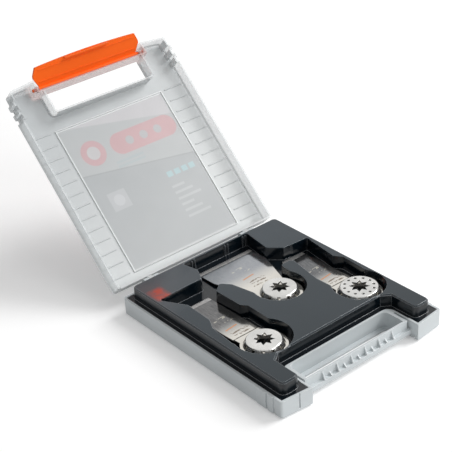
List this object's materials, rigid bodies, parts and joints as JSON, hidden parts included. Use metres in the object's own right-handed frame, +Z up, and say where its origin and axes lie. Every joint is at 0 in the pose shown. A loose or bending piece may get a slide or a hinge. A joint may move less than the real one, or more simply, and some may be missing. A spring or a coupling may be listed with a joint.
{
  "type": "saw blade storage case",
  "caption": "Flat hinged plastic case with a translucent lid, front latch, handle cut-outs and a moulded insert holding multi-tool saw blades.",
  "frame": {"origin": "middle of the base's flat bottom face", "axes": "+X along the hinge, towards the case's right side; -Y towards the handle and latch, +Y towards the hinge; +Z up"},
  "size_m": [0.1788, 0.365, 0.1748],
  "materials": {
    "base_tray": "satin light grey",
    "hinge_pin_left": "plain",
    "hinge_pin_right": "plain",
    "lid_shell": "translucent grey, satin",
    "lid_label": "printed film",
    "latch": "satin orange",
    "insert_tray": "glossy black",
    "left_blade_hub": "satin",
    "left_blade_sheet": "satin",
    "left_blade_teeth": "ground",
    "centre_blade_hub": "satin",
    "centre_blade_sheet": "satin",
    "centre_blade_teeth": "ground",
    "right_blade_hub": "satin",
    "right_blade_sheet": "satin",
    "right_blade_teeth": "ground"
  },
  "bodies": {
    "base": {"base_tray": "base_tray", "hinge_pin_left": "hinge_pin_left", "hinge_pin_right": "hinge_pin_right"},
    "lid": {"lid_shell": "lid_shell", "lid_label": "lid_label"},
    "latch": {"latch": "latch"},
    "insert": {"insert_tray": "insert_tray"},
    "left_blade": {"left_blade_hub": "left_blade_hub", "left_blade_sheet": "left_blade_sheet", "left_blade_teeth": "left_blade_teeth"},
    "centre_blade": {"centre_blade_hub": "centre_blade_hub", "centre_blade_sheet": "centre_blade_sheet", "centre_blade_teeth": "centre_blade_teeth"},
    "right_blade": {"right_blade_hub": "right_blade_hub", "right_blade_sheet": "right_blade_sheet", "right_blade_teeth": "right_blade_teeth"}
  },
  "joints": [
    {"name": "lid_hinge", "type": "hinge", "parent": "base", "child": "lid", "pos_m": [0, 0.1042, 0.0175], "axis": [1, 0, 0], "range_deg": [0, 135.69]},
    {"name": "latch_hinge", "type": "hinge", "parent": "lid", "child": "latch", "pos_m": [0, 0.25222, 0.15319], "axis": [1, 0, 0], "range_deg": [0, 48]},
    {"name": "insert_lift", "type": "slide", "parent": "base", "child": "insert", "axis": [0, 0, -1], "range_m": [-0.06, 0]},
    {"name": "left_blade_lift", "type": "slide", "parent": "insert", "child": "left_blade", "axis": [0, 0, -1], "range_m": [-0.03, 0]},
    {"name": "centre_blade_lift", "type": "slide", "parent": "insert", "child": "centre_blade", "axis": [0, 0, -1], "range_m": [-0.03, 0]},
    {"name": "right_blade_lift", "type": "slide", "parent": "insert", "child": "right_blade", "axis": [0, 0, -1], "range_m": [-0.03, 0]}
  ]
}
